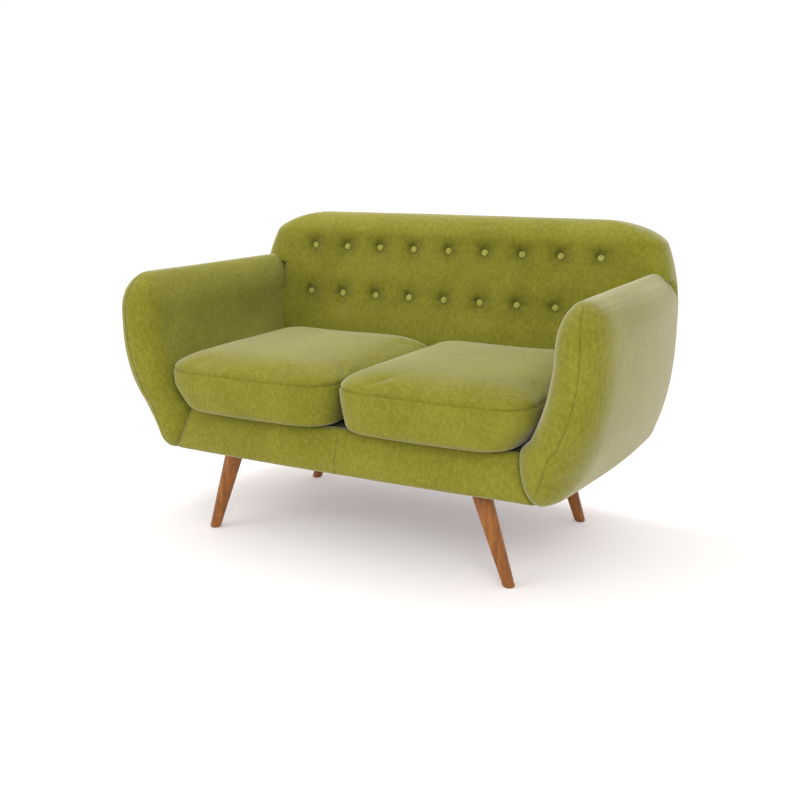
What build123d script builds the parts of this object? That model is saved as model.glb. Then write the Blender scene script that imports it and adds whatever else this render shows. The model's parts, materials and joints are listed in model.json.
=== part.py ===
from build123d import *

import math
import os

# A two-seat sofa: splayed tapered legs, a timber seat frame with zigzag springs, two curved
# padded arms, a leaning button-tufted back and two loose seat cushions.
# Millimetres, +Z up, front towards -Y.
# The origin is on the floor, under the centre of the sofa's box.

# ---- overall -------------------------------------------------------------------------------------
HEIGHT = 831.0            # top of the back
HALF_WIDTH = 672.0        # widest point of an arm's front
REAR_Y = 402.0            # back face
CUSHION_FRONT_Y = -402.0
UNDERSIDE_Z = 229.0       # bottom edge of the upholstery
DECK_Z = 349.0            # what the cushions lie on
GAP = 0.5                 # left between padding and whatever lies against it
HOLE_GAP = 0.25           # round a screw or bolt

# ---- legs ----------------------------------------------------------------------------------------
FOOT_X, FOOT_FRONT_Y, FOOT_REAR_Y = 438.0, -290.0, 230.0
LEG_SPLAY = 18.9          # degrees outward from upright, sideways only
LEG_TOP_R, LEG_FOOT_R, LEG_TOP_Z = 24.5, 14.0, 233.0
GLIDE_H, GLIDE_R = 3.0, 11.0
PLATE_T, PLATE_SIZE = 2.5, 68.0
BOLT_R, BOLT_IN_LEG, BOLT_IN_FRAME = 4.0, 45.0, 30.0
SCREW_R, SCREW_HEAD_R, SCREW_HEAD_H, SCREW_LENGTH, SCREW_INSET = 2.0, 4.0, 1.6, 22.0, 8.0

# ---- seat frame ----------------------------------------------------------------------------------
RAIL_X = 476.0            # outer face of the side rails
RAIL_T = 24.0
RAIL_FRONT_Y, RAIL_REAR_Y = -325.0, 326.0
RAIL_Z0, RAIL_Z1 = LEG_TOP_Z + PLATE_T, 322.0
BRACE_T, BRACE_DROP = 32.0, 30.0
BLOCK_X, BLOCK_Y, BLOCK_H, BLOCK_CUT = 150.0, 120.0, 50.0, 50.0
SPRING_WIRE_R, SPRING_COUNT, SPRING_BENDS, SPRING_SWING = 1.9, 8, 10, 30.0
CLIP_Y, CLIP_H = 16.0, 8.0
HESSIAN_T = 2.0
DECK_PAD_T = 16.0

# ---- arms ----------------------------------------------------------------------------------------
ARM_WIDE_Z = 540.0        # height at which an arm is widest
ARM_DOME_Z, ARM_TOP_Z = 600.0, 700.0
ARM_OUTER_CURVE = 0.00134     # outer face: how far it pulls in, per square millimetre below ARM_WIDE_Z
ARM_INNER_X = 552.0
ARM_INNER_CURVE = 0.00119
ARM_RIDGE_X = 602.0
ARM_REAR_X = 645.0        # outer face at the rear corner
ARM_REAR_WIDE_Z, ARM_REAR_CURVE = 480.0, 0.001
ARM_NOSE_Y, ARM_NOSE_Z, ARM_NOSE_CURVE, ARM_NOSE_DOME = -395.0, 560.0, 0.0004, 34.0
ARM_SIDE_BOW = 14.0       # how far the outer face bows out between nose and rear corner
# depth of the rounded front at the underside, and its growth upward
ARM_FOOT_ROUND, ARM_ROUND_RISE = 18.0, 0.35
REAR_CORNER_R = 60.0
REAR_CURVE_Z, REAR_CURVE = 480.0, 0.00062
ARM_FOAM = 27.0
ARM_PANEL_T = 18.0
PANEL_GAP = 2.0           # between the arm panels and the padding stretched over them
ARM_BACK_X = 560.0        # beyond this the arm runs on past the back's padding
ARM_FRONT_PANEL_Y, ARM_REAR_PANEL_Y = -322.0, 330.0
ARM_TOP_RAIL = ((578.0, 628.0), (588.0, 612.0))       # x and z ranges
ARM_BOTTOM_RAIL = ((476.5, 500.0), (244.0, 284.0))
SEAM_BOTTOM_X, SEAM_TOP_X = 508.0, 479.0  # where the front rail's cover meets the arm
SHOULDER = ((258.0, 702.0), (404.0, 598.0))    # (y, z) of the seam where the back sits on the arm

# ---- back ----------------------------------------------------------------------------------------
BACK_LEAN = 0.2165        # how far the front of the back moves to the rear, per millimetre of height
BACK_Y0, BACK_Z0 = 207.0, 480.0
BACK_WIDE_Z, BACK_HALF_WIDTH, BACK_TAPER = 600.0, 645.0, 0.0011
BACK_DOME_Z = 770.0
BACK_TOP_HALF_WIDTH = 430.0
BACK_RIDGE_Y = 340.0
BACK_FRONT_R = 38.0
FRAME_Y, FRAME_LEAN = 300.0, 0.06     # front of the back frame at DECK_Z, and its lean
POST_X, POST_T, POST_TOP_Z = 472.0, 24.0, 790.0
BACK_RAIL_H = 45.0
WEB_T, WEB_W, WEB_COUNT = 2.0, 50.0, 6
PANEL_T = 14.0            # upholstered outer back
BUTTON_COLUMNS, BUTTON_PITCH, BUTTON_ROWS_Z = 9, 113.0, (596.0, 734.0)
BUTTON_R, BUTTON_H = 9.5, 6.0
DIMPLE_DEPTH, DIMPLE_R, DIMPLE_CLEAR = 13.0, 34.0, 6.0
TWINE_R = 1.0

# ---- front rail cover ----------------------------------------------------------------------------
FRONT_BOTTOM = (-345.0, -356.0)   # y at the ends and in the middle, at the bottom edge
FRONT_TOP = (-332.0, -340.0)      # and at the top edge

# ---- cushions ------------------------------------------------------------------------------------
CUSHION_INNER_X = 1.5
CUSHION_OUTER_X = 505.0
CUSHION_SIDE_GAP, CUSHION_REAR_GAP = 2.0, 4.0
CUSHION_SEAM_Z, CUSHION_TOP_Z = 456.0, 506.0
CUSHION_CORNER_R = 80.0
CUSHION_EDGE_R = 24.0
CUSHION_CROWN_REACH = 105.0   # how far in from the seam the top keeps rising
COVER_T = 3.0

os.makedirs("parts", exist_ok=True)


# ---- helpers -------------------------------------------------------------------------------------
def box(x0, x1, y0, y1, z0, z1):
    """A block between two opposite corners."""
    return Pos((x0 + x1) / 2, (y0 + y1) / 2, (z0 + z1) / 2) * Box(x1 - x0, y1 - y0, z1 - z0)


def rod(start, end, radius):
    """A round bar from one point to another."""
    axis = Vector(*end) - Vector(*start)
    plane = Plane(origin=start, z_dir=axis)
    return plane * Cylinder(radius, axis.length, align=(Align.CENTER, Align.CENTER, Align.MIN))


def yz_prism(points, x0, x1):
    """A prism along X whose outline is given as (y, z) points."""
    outline = Polyline(*[(x0, y, z) for y, z in points], close=True)
    return extrude(make_face(outline), x1 - x0, dir=(1, 0, 0))


def mirrored(shape):
    return mirror(shape, about=Plane.YZ)


def together(shapes):
    """Separate solids kept side by side in one node."""
    return Compound(children=[solid for shape in shapes for solid in shape.solids()])


def save(name, shape):
    export_step(shape, f"parts/{name}.step")
    print(name, len(shape.solids()), "solids", round(shape.volume / 1000), "cm3")


def save_pair(name, right):
    save(f"{name}_right", right)
    save(f"{name}_left", mirrored(right))


def dome(z, z0, z1):
    """Share of the full thickness left at height z, over a rounded top that runs from z0 to z1."""
    rise = min(1.0, max(0.0, (z - z0) / (z1 - z0)))
    return math.sqrt(1.0 - rise * rise)


def heights(bottom, dome_z, top, steps):
    """Section heights: even up the side, then closer together over the rounded top."""
    side = [bottom + (dome_z - bottom) * i / steps for i in range(steps + 1)]
    return side + [dome_z + (top - dome_z) * math.sin(math.radians(a)) for a in (20, 40, 56, 70, 80, 86)]


def rear_y(z):
    """The back face: upright above the seat, pulling in towards the underside."""
    return REAR_Y - REAR_CURVE * max(0.0, REAR_CURVE_Z - z) ** 2


def back_front_y(z):
    """The leaning front face of the back."""
    return BACK_Y0 + BACK_LEAN * (z - BACK_Z0)


def frame_front_y(z):
    return FRAME_Y + FRAME_LEAN * (z - DECK_Z)


# ---- arms ----------------------------------------------------------------------------------------
def arm_inner_x(z):
    """Inner face of an arm: against the side rail below the deck, curving outward above it."""
    if z < DECK_Z:
        return RAIL_X + GAP
    return ARM_INNER_X - ARM_INNER_CURVE * max(0.0, ARM_DOME_Z - z) ** 2


def arm_section(z, inset=0.0, inner_inset=None):
    """The arm cut at height z: a straight inner face, a round nose and a bowed outer face."""
    inner_inset = inset if inner_inset is None else inner_inset
    below = max(0.0, ARM_WIDE_Z - z)
    inner = arm_inner_x(z)
    outer = HALF_WIDTH - ARM_OUTER_CURVE * below**2
    outer_rear = ARM_REAR_X - ARM_REAR_CURVE * max(0.0, ARM_REAR_WIDE_Z - z) ** 2
    full = dome(z, ARM_DOME_Z, ARM_TOP_Z)
    pull = (1.0 - full) ** 2
    front_middle = (inner + outer) / 2 * (1 - pull) + ARM_RIDGE_X * pull
    rear_middle = (inner + outer_rear) / 2 * (1 - pull) + ARM_RIDGE_X * pull
    shift, shrink = (inner_inset - inset) / 2, (inner_inset + inset) / 2
    front_middle, rear_middle = front_middle + shift, rear_middle + shift
    front_half = (outer - inner) / 2 * full - shrink
    rear_half = (outer_rear - inner) / 2 * full - shrink
    nose = ARM_NOSE_Y + ARM_NOSE_CURVE * (z - ARM_NOSE_Z) ** 2 + ARM_NOSE_DOME * (1.0 - full) + inset
    rear = rear_y(z) - inset
    front_inner, front_outer = front_middle - front_half, front_middle + front_half
    rear_inner, rear_outer = rear_middle - rear_half, rear_middle + rear_half
    corner = min(REAR_CORNER_R - inset, rear_half * 1.6)
    bulge = corner * (1 - math.sqrt(0.5))
    cheek = nose + min(front_half, ARM_FOOT_ROUND + ARM_ROUND_RISE * (z - UNDERSIDE_Z))
    bow = ARM_SIDE_BOW * max(full, 0.05)
    side_middle = ((front_outer + rear_outer) / 2 + bow, (cheek + rear - corner) / 2, z)
    edges = [
        Line((rear_inner, rear, z), (front_inner, cheek, z)),
        ThreePointArc((front_inner, cheek, z), (front_middle, nose, z), (front_outer, cheek, z)),
        ThreePointArc((front_outer, cheek, z), side_middle, (rear_outer, rear - corner, z)),
        ThreePointArc(
            (rear_outer, rear - corner, z),
            (rear_outer - bulge, rear - bulge, z),
            (rear_outer - corner, rear, z),
        ),
        Line((rear_outer - corner, rear, z), (rear_inner, rear, z)),
    ]
    return make_face(Wire(edges))


def below_shoulder(x0, x1, lift):
    """Everything under the sloping seam where the back sits on the arm, raised by lift."""
    (y0, z0), (y1, z1) = SHOULDER
    slope = (z1 - z0) / (y1 - y0)
    reach = 60.0
    points = [
        (-500.0, 0.0),
        (-500.0, HEIGHT),
        (y0 + lift, HEIGHT),
        (y0 + lift, z0 + lift),
        (y1 + reach, z1 + slope * reach + lift),
        (y1 + reach, 0.0),
    ]
    return yz_prism(points, x0, x1)


def arm_space(inset):
    """The space inside the right arm's padding: open to the side rail below the deck."""
    upper = loft([arm_section(z, inset) for z in heights(DECK_Z, ARM_DOME_Z, ARM_TOP_Z - inset, 6)])
    low_levels = [RAIL_Z0 + 8 + (DECK_Z - RAIL_Z0 - 8) * i / 3 for i in range(4)]
    lower = loft([arm_section(z, inset, -GAP) for z in low_levels])
    under = below_shoulder(400.0, 760.0, -inset)
    return (upper & under), (lower & under)


front_corner = extrude(
    make_face(
        Polyline(
            (400.0, RAIL_FRONT_Y - GAP, UNDERSIDE_Z - 10),
            (SEAM_BOTTOM_X + GAP, RAIL_FRONT_Y - GAP, UNDERSIDE_Z - 10),
            (SEAM_BOTTOM_X + GAP, RAIL_FRONT_Y - GAP, UNDERSIDE_Z),
            (SEAM_TOP_X + GAP, RAIL_FRONT_Y - GAP, DECK_Z),
            (400.0, RAIL_FRONT_Y - GAP, DECK_Z),
            close=True,
        )
    ),
    100.0,
    dir=(0, -1, 0),
)
behind_back_face = yz_prism(
    [
        (back_front_y(DECK_Z) - GAP, DECK_Z),
        (back_front_y(ARM_TOP_Z) - GAP, ARM_TOP_Z),
        (REAR_Y + 20, ARM_TOP_Z),
        (REAR_Y + 20, DECK_Z),
    ],
    400.0,
    ARM_BACK_X + GAP,
)
beside_frame = box(400.0, RAIL_X + GAP, -500.0, 500.0, 200.0, DECK_Z)
arm_outside = loft([arm_section(z) for z in heights(UNDERSIDE_Z, ARM_DOME_Z, ARM_TOP_Z, 9)])
arm_outside &= below_shoulder(400.0, 760.0, -GAP)
for cut in (front_corner, beside_frame, behind_back_face, *arm_space(ARM_FOAM)):
    arm_outside -= cut
save_pair("arm_upholstery", arm_outside)

panel_space, panel_foot_space = arm_space(ARM_FOAM + PANEL_GAP)


def arm_panel(y):
    slab = box(RAIL_X + GAP, 760, y, y + ARM_PANEL_T, RAIL_Z0, ARM_TOP_Z) - behind_back_face
    return (panel_space & slab) + (panel_foot_space & slab)


arm_front_panel, arm_rear_panel = arm_panel(ARM_FRONT_PANEL_Y), arm_panel(ARM_REAR_PANEL_Y)
save_pair("arm_front_panel", arm_front_panel)
save_pair("arm_rear_panel", arm_rear_panel)


def arm_rail(ranges):
    (x0, x1), (z0, z1) = ranges
    return box(x0, x1, ARM_FRONT_PANEL_Y + ARM_PANEL_T, ARM_REAR_PANEL_Y, z0, z1)


arm_bolt_places = [(y, sum(ARM_BOTTOM_RAIL[1]) / 2) for y in (-200.0, 0.0, 200.0)]


def arm_bolts(grow=0.0):
    x0, x1 = RAIL_X - RAIL_T + 6, ARM_BOTTOM_RAIL[0][1]
    return together(
        [rod((x0 - grow, y, z), (x1 + grow, y, z), BOLT_R + grow) for y, z in arm_bolt_places]
    )


save_pair("arm_top_rail", arm_rail(ARM_TOP_RAIL) & panel_space)
save_pair("arm_bottom_rail", arm_rail(ARM_BOTTOM_RAIL) - arm_bolts(HOLE_GAP))
save("arm_bolts", together([arm_bolts(), mirrored(arm_bolts())]))


# ---- back ----------------------------------------------------------------------------------------
def back_section(z):
    """The back cut at height z: rounded front and rear corners, drawn in towards the ridge at the top."""
    full = dome(z, BACK_DOME_Z, HEIGHT)
    front = BACK_RIDGE_Y - (BACK_RIDGE_Y - back_front_y(z)) * full
    rear = BACK_RIDGE_Y + (rear_y(z) - BACK_RIDGE_Y) * full
    wide = BACK_HALF_WIDTH - BACK_TAPER * max(0.0, z - BACK_WIDE_Z) ** 2
    wide = BACK_TOP_HALF_WIDTH + (wide - BACK_TOP_HALF_WIDTH) * full
    depth = rear - front
    rear_r, front_r = min(REAR_CORNER_R, depth * 0.5), min(BACK_FRONT_R, depth * 0.35)

    def corner(side, radius, y, direction):
        """A quarter round at one side: from the flat face at y out to the side face."""
        bulge = radius * (1 - math.sqrt(0.5))
        return ThreePointArc(
            (side * (wide - radius), y, z),
            (side * (wide - bulge), y + direction * bulge, z),
            (side * wide, y + direction * radius, z),
        )

    edges = [
        Line((-wide + front_r, front, z), (wide - front_r, front, z)),
        corner(1, front_r, front, 1),
        Line((wide, front + front_r, z), (wide, rear - rear_r, z)),
        corner(1, rear_r, rear, -1),
        Line((wide - rear_r, rear, z), (-wide + rear_r, rear, z)),
        corner(-1, rear_r, rear, -1),
        Line((-wide, rear - rear_r, z), (-wide, front + front_r, z)),
        corner(-1, front_r, front, 1),
    ]
    return make_face(Wire(edges))


def button_plane(x, z):
    """On the front of the back at one button, facing out of the padding."""
    return Plane(origin=(x, back_front_y(z), z), x_dir=(1, 0, 0), z_dir=(0, -1, BACK_LEAN))


def frame_profile(z0, z1, front_gap=0.0, rear_gap=2 * GAP):
    """(y, z) outline of the back frame between two heights."""
    levels = [z0 + (z1 - z0) * i / 6 for i in range(7)]
    front = [(max(frame_front_y(z), RAIL_REAR_Y if z < RAIL_Z1 + 1 else 0.0) - front_gap, z) for z in levels]
    rear = [(rear_y(z) - PANEL_T - rear_gap, z) for z in reversed(levels)]
    return front + rear


buttons_at = [
    (BUTTON_PITCH * (i - (BUTTON_COLUMNS - 1) / 2), z) for z in BUTTON_ROWS_Z for i in range(BUTTON_COLUMNS)
]
back_outside = loft([back_section(z) for z in heights(DECK_Z + GAP, BACK_DOME_Z, HEIGHT, 7)])
beside_back = below_shoulder(ARM_BACK_X, 760.0, 0.0)
back_outside -= beside_back
back_outside -= mirrored(beside_back)
hollow_profile = frame_profile(DECK_Z - 10, POST_TOP_Z + GAP, WEB_T + GAP, -GAP)
back_hollow = yz_prism(hollow_profile, -POST_X - GAP, POST_X + GAP)
panel_levels = [UNDERSIDE_Z + 2 + (POST_TOP_Z - UNDERSIDE_Z - 2) * i / 9 for i in range(10)]


def rear_panel(half_width, grow):
    points = [(rear_y(z) - PANEL_T - grow, z) for z in panel_levels]
    points += [(rear_y(z) + (60.0 if grow else 0.0), z) for z in reversed(panel_levels)]
    if grow:
        points[9], points[10] = (points[9][0], points[9][1] + grow), (points[10][0], points[10][1] + grow)
    return yz_prism(points, -half_width - grow, half_width + grow)


back_padding = back_outside - back_hollow - rear_panel(RAIL_X, GAP)
for x, z in buttons_at:
    flare = (DIMPLE_R - BUTTON_R - 1.0) * (1 + DIMPLE_CLEAR / DIMPLE_DEPTH)
    dimple = Pos(0, 0, -DIMPLE_DEPTH) * Cone(
        BUTTON_R + 1.0,
        BUTTON_R + 1.0 + flare,
        DIMPLE_DEPTH + DIMPLE_CLEAR,
        align=(Align.CENTER, Align.CENTER, Align.MIN),
    )
    eyelet = Cylinder(TWINE_R + HOLE_GAP, 120.0, align=(Align.CENTER, Align.CENTER, Align.MAX))
    back_padding -= button_plane(x, z) * (dimple + eyelet)
save("back_upholstery", back_padding)
save("outer_back_panel", rear_panel(RAIL_X, 0.0))

BUTTON_ALIGN = (Align.CENTER, Align.CENTER, Align.MIN)
button = Pos(0, 0, -DIMPLE_DEPTH) * Cylinder(BUTTON_R, BUTTON_H, align=BUTTON_ALIGN)
button = fillet(button.edges().group_by(Axis.Z)[-1], BUTTON_H * 0.6)
save("tufting_buttons", together([button_plane(x, z) * button for x, z in buttons_at]))
twines = []
for x, z in buttons_at:
    plane = button_plane(x, z)
    start = plane.origin - plane.z_dir * DIMPLE_DEPTH
    reach = (frame_front_y(start.Z) - WEB_T - GAP - start.Y) / (1 + BACK_LEAN * FRAME_LEAN)
    twines.append(rod(tuple(start), (x, start.Y + reach, start.Z - reach * BACK_LEAN), TWINE_R))
save("button_twines", together(twines))

post = yz_prism(frame_profile(RAIL_Z1 + 2, POST_TOP_Z), 0, POST_T)
foot = yz_prism(
    [
        (RAIL_REAR_Y, RAIL_Z0),
        (rear_y(RAIL_Z0) - PANEL_T - 2 * GAP, RAIL_Z0),
        (rear_y(RAIL_Z1 + 2) - PANEL_T - 2 * GAP, RAIL_Z1 + 2),
        (RAIL_REAR_Y, RAIL_Z1 + 2),
    ],
    0,
    POST_T,
)
post = post + foot
save_pair("back_post", Pos(POST_X - POST_T, 0, 0) * post)
save("back_centre_post", Pos(-POST_T / 2, 0, 0) * post)


def back_rail(z0, name):
    """Two lengths either side of the centre post."""
    z1 = z0 + BACK_RAIL_H
    points = [
        (frame_front_y(z0), z0),
        (frame_front_y(z0) + RAIL_T, z0),
        (frame_front_y(z1) + RAIL_T, z1),
        (frame_front_y(z1), z1),
    ]
    half = yz_prism(points, POST_T / 2, POST_X - POST_T)
    save(name, together([half, mirrored(half)]))


back_rail(POST_TOP_Z - BACK_RAIL_H, "back_top_rails")
back_rail(DECK_Z + 20.0, "back_lower_rails")
straps = []
for i in range(WEB_COUNT):
    z0 = DECK_Z + 50.0 + i * (POST_TOP_Z - DECK_Z - 110.0) / (WEB_COUNT - 1)
    z1 = z0 + WEB_W
    strap = [
        (frame_front_y(z0) - WEB_T, z0),
        (frame_front_y(z0), z0),
        (frame_front_y(z1), z1),
        (frame_front_y(z1) - WEB_T, z1),
    ]
    straps.append(yz_prism(strap, -POST_X, POST_X))
save("back_webbing", together(straps))


# ---- legs and their fixings ----------------------------------------------------------------------
tilt = math.tan(math.radians(LEG_SPLAY))
leg_top_x = FOOT_X - LEG_TOP_Z * tilt
leg_places = [(side, y) for side in (1, -1) for y in (FOOT_FRONT_Y, FOOT_REAR_Y)]


def leg_axis(z, y, side):
    """Point at height z on the centre line of one leg."""
    return (side * (FOOT_X - z * tilt), y, z)


def leg_bolt(side, y, grow=0.0):
    up = math.cos(math.radians(LEG_SPLAY))
    start = leg_axis(LEG_TOP_Z - BOLT_IN_LEG * up, y, side)
    end = leg_axis(LEG_TOP_Z + BOLT_IN_FRAME * up, y, side)
    return rod(start, end, BOLT_R + grow)


def leg(side, y):
    """A round taper along the splayed axis, cut level at the foot and under the plate."""
    length = LEG_TOP_Z / math.cos(math.radians(LEG_SPLAY))
    spare = 30.0
    slope = (LEG_TOP_R - LEG_FOOT_R) / length
    plane = Plane(origin=leg_axis(0.0, y, side), z_dir=(-side * tilt, 0, 1))
    taper = plane * Pos(0, 0, -spare) * Cone(
        LEG_FOOT_R - slope * spare,
        LEG_TOP_R + slope * spare,
        length + 2 * spare,
        align=(Align.CENTER, Align.CENTER, Align.MIN),
    )
    slab = box(side * FOOT_X - 160, side * FOOT_X + 160, y - 60, y + 60, GLIDE_H, LEG_TOP_Z)
    return (taper & slab) - leg_bolt(side, y, HOLE_GAP)


def plate_screws(side, y, grow=0.0):
    """Four pan-headed screws up through the corners of one plate."""
    reach = PLATE_SIZE / 2 - SCREW_INSET
    shapes = []
    for dx in (-reach, reach):
        for dy in (-reach, reach):
            x = side * leg_top_x + dx
            foot_z = LEG_TOP_Z - SCREW_HEAD_H
            head = rod((x, y + dy, foot_z), (x, y + dy, LEG_TOP_Z), SCREW_HEAD_R)
            shank = rod((x, y + dy, LEG_TOP_Z), (x, y + dy, LEG_TOP_Z + SCREW_LENGTH + grow), SCREW_R + grow)
            shapes.append(shank if grow else head + shank)
    return together(shapes)


fixings = together(
    [leg_bolt(side, y, HOLE_GAP) for side, y in leg_places]
    + [plate_screws(side, y, HOLE_GAP) for side, y in leg_places]
)
names = {1: "right", -1: "left", FOOT_FRONT_Y: "front", FOOT_REAR_Y: "rear"}
for side, y in leg_places:
    save(f"leg_{names[y]}_{names[side]}", leg(side, y))
save(
    "foot_glides",
    together([Pos(side * FOOT_X, y, GLIDE_H / 2) * Cylinder(GLIDE_R, GLIDE_H) for side, y in leg_places]),
)
save("leg_hanger_bolts", together([leg_bolt(side, y) for side, y in leg_places]))
save("leg_plate_screws", together([plate_screws(side, y) for side, y in leg_places]))
plates = [
    box(
        side * leg_top_x - PLATE_SIZE / 2,
        side * leg_top_x + PLATE_SIZE / 2,
        y - PLATE_SIZE / 2,
        y + PLATE_SIZE / 2,
        LEG_TOP_Z,
        LEG_TOP_Z + PLATE_T,
    )
    for side, y in leg_places
]
save("leg_mounting_plates", together(plates) - fixings)

# ---- seat frame ----------------------------------------------------------------------------------
inner_x = RAIL_X - RAIL_T
inner_front, inner_rear = RAIL_FRONT_Y + RAIL_T, RAIL_REAR_Y - RAIL_T
frame_screw_z = (RAIL_Z0 + 22.0, RAIL_Z1 - 22.0)


def frame_screws(grow=0.0):
    """Screws through the front and rear rails into the ends of the side rails."""
    x = RAIL_X - RAIL_T / 2
    length = RAIL_T + 40.0
    shapes = []
    for side in (1, -1):
        for z in frame_screw_z:
            for y, inward in ((RAIL_FRONT_Y, length), (RAIL_REAR_Y, -length)):
                shapes.append(rod((side * x, y, z), (side * x, y + inward, z), SCREW_R + grow))
    return together(shapes)


save("seat_frame_screws", frame_screws())
screw_holes = frame_screws(HOLE_GAP)
front_rail = box(-RAIL_X, RAIL_X, RAIL_FRONT_Y, inner_front, RAIL_Z0, RAIL_Z1)
rear_rail = box(-RAIL_X, RAIL_X, inner_rear, RAIL_REAR_Y, RAIL_Z0, RAIL_Z1)
side_rail = box(inner_x, RAIL_X, inner_front, inner_rear, RAIL_Z0, RAIL_Z1)
brace = box(-BRACE_T / 2, BRACE_T / 2, inner_front, inner_rear, RAIL_Z0, RAIL_Z1 - BRACE_DROP)
save("seat_frame_front_rail", front_rail - fixings - screw_holes)
save("seat_frame_rear_rail", rear_rail - fixings - screw_holes)
save_pair("seat_frame_side_rail", side_rail - screw_holes - arm_bolts(HOLE_GAP))
save("seat_frame_centre_brace", brace)
blocks = []
for side in (1, -1):
    for y, inward in ((inner_front, 1), (inner_rear, -1)):
        outline = Polyline(
            (side * inner_x, y, RAIL_Z0),
            (side * (inner_x - BLOCK_X), y, RAIL_Z0),
            (side * (inner_x - BLOCK_X), y + inward * (BLOCK_Y - BLOCK_CUT), RAIL_Z0),
            (side * (inner_x - BLOCK_X + BLOCK_CUT), y + inward * BLOCK_Y, RAIL_Z0),
            (side * inner_x, y + inward * BLOCK_Y, RAIL_Z0),
            close=True,
        )
        blocks.append(extrude(make_face(outline), BLOCK_H, dir=(0, 0, 1)))
save("corner_blocks", together(blocks) - fixings - screw_holes)


# ---- springs and deck ----------------------------------------------------------------------------
def spring(x):
    """One zigzag wire from front to rear, with its two end bars lying across the clips."""
    z = RAIL_Z1 + CLIP_H / 2
    y0, y1 = RAIL_FRONT_Y + RAIL_T / 2, RAIL_REAR_Y - RAIL_T / 2
    step = (y1 - y0) / SPRING_BENDS
    half = SPRING_SWING
    points = [(x - half, y0, z)]
    for i in range(SPRING_BENDS):
        swing = half if i % 2 == 0 else -half
        points.append((x + swing, y0 + i * step, z))
        points.append((x + swing, y0 + (i + 1) * step, z))
    points.append((x - swing, y1, z))
    path = FilletPolyline(*points, radius=SPRING_SWING * 0.66)
    profile = Plane(origin=points[0], z_dir=(1, 0, 0)) * Circle(SPRING_WIRE_R)
    return sweep(profile, path)


spring_xs = []
for side in (1, -1):
    for i in range(SPRING_COUNT // 2):
        spring_xs.append(side * (70.0 + i * (inner_x - 130.0) / (SPRING_COUNT // 2 - 1)))
springs = [spring(x) for x in spring_xs]
save("seat_springs", together(springs))
clips = []
for x in spring_xs:
    for y in (RAIL_FRONT_Y + RAIL_T / 2, RAIL_REAR_Y - RAIL_T / 2):
        clip = box(x - 8, x + 8, y - CLIP_Y / 2, y + CLIP_Y / 2, RAIL_Z1, RAIL_Z1 + CLIP_H)
        z = RAIL_Z1 + CLIP_H / 2
        clips.append(clip - rod((x - 40, y, z), (x + 40, y, z), SPRING_WIRE_R + HOLE_GAP))
save("spring_clips", together(clips))
hessian_z = DECK_Z - DECK_PAD_T - HESSIAN_T
deck_area = (-RAIL_X, RAIL_X, RAIL_FRONT_Y, FRAME_Y - WEB_T - GAP)
save("spring_hessian", box(*deck_area, hessian_z, DECK_Z - DECK_PAD_T))
save("seat_deck_pad", box(*deck_area, DECK_Z - DECK_PAD_T, DECK_Z))


# ---- front rail cover and dust cover -------------------------------------------------------------
def front_section(z, half, ends_y, middle_y):
    rear = RAIL_FRONT_Y - GAP
    edges = [
        ThreePointArc((-half, ends_y, z), (0, middle_y, z), (half, ends_y, z)),
        Line((half, ends_y, z), (half, rear, z)),
        Line((half, rear, z), (-half, rear, z)),
        Line((-half, rear, z), (-half, ends_y, z)),
    ]
    return make_face(Wire(edges))


save(
    "front_rail_upholstery",
    loft(
        [
            front_section(UNDERSIDE_Z, SEAM_BOTTOM_X, *FRONT_BOTTOM),
            front_section(DECK_Z, SEAM_TOP_X, *FRONT_TOP),
        ]
    ),
)
dust_cover = box(-RAIL_X + 8, RAIL_X - 8, RAIL_FRONT_Y + 6, RAIL_REAR_Y - 6, UNDERSIDE_Z, UNDERSIDE_Z + 1.2)
for side, y in leg_places:
    ends = [leg_axis(UNDERSIDE_Z + rise, y, side) for rise in (-30, 30)]
    dust_cover -= rod(*ends, LEG_TOP_R + 2.0)
save("dust_cover", dust_cover)


# ---- cushions ------------------------------------------------------------------------------------
def cushion_section(z, shrink):
    """A rounded rectangle that follows the arm and the leaning back with a small gap."""
    outer = min(CUSHION_OUTER_X, arm_inner_x(z) - CUSHION_SIDE_GAP) - shrink
    inner = CUSHION_INNER_X + shrink
    front, rear = CUSHION_FRONT_Y + shrink, back_front_y(min(z, CUSHION_SEAM_Z)) - CUSHION_REAR_GAP - shrink
    radius = max(12.0, CUSHION_CORNER_R - 0.2 * shrink)
    middle = Pos((inner + outer) / 2, (front + rear) / 2, z)
    return middle * RectangleRounded(outer - inner, rear - front, radius)


def cushion(inset):
    """Box cushion: rounded lower edge, upright boxing up to the seam, crowned top."""
    bottom, top = DECK_Z + GAP + inset, CUSHION_TOP_Z - inset
    sections = []
    for angle in (0, 35, 65, 90):
        rise = CUSHION_EDGE_R * (1 - math.cos(math.radians(angle)))
        pull = CUSHION_EDGE_R * (1 - math.sin(math.radians(angle)))
        sections.append(cushion_section(bottom + rise, pull + inset))
    sections.append(cushion_section((bottom + CUSHION_SEAM_Z) / 2 + 10, inset))
    for angle in (6, 22, 38, 54, 68, 80):
        rise = (top - CUSHION_SEAM_Z) * math.sin(math.radians(angle))
        pull = CUSHION_CROWN_REACH * (1 - math.cos(math.radians(angle)))
        sections.append(cushion_section(CUSHION_SEAM_Z + rise, pull + inset))
    half = box(CUSHION_INNER_X + inset, 700, -500, 500, DECK_Z, CUSHION_TOP_Z + 10)
    return loft(sections) & half


foam = cushion(COVER_T + HOLE_GAP)
save_pair("seat_cushion_cover", cushion(0.0) - cushion(COVER_T))
save_pair("seat_cushion_foam", foam)
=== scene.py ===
import json
import math

import bpy
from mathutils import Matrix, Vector, noise


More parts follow.
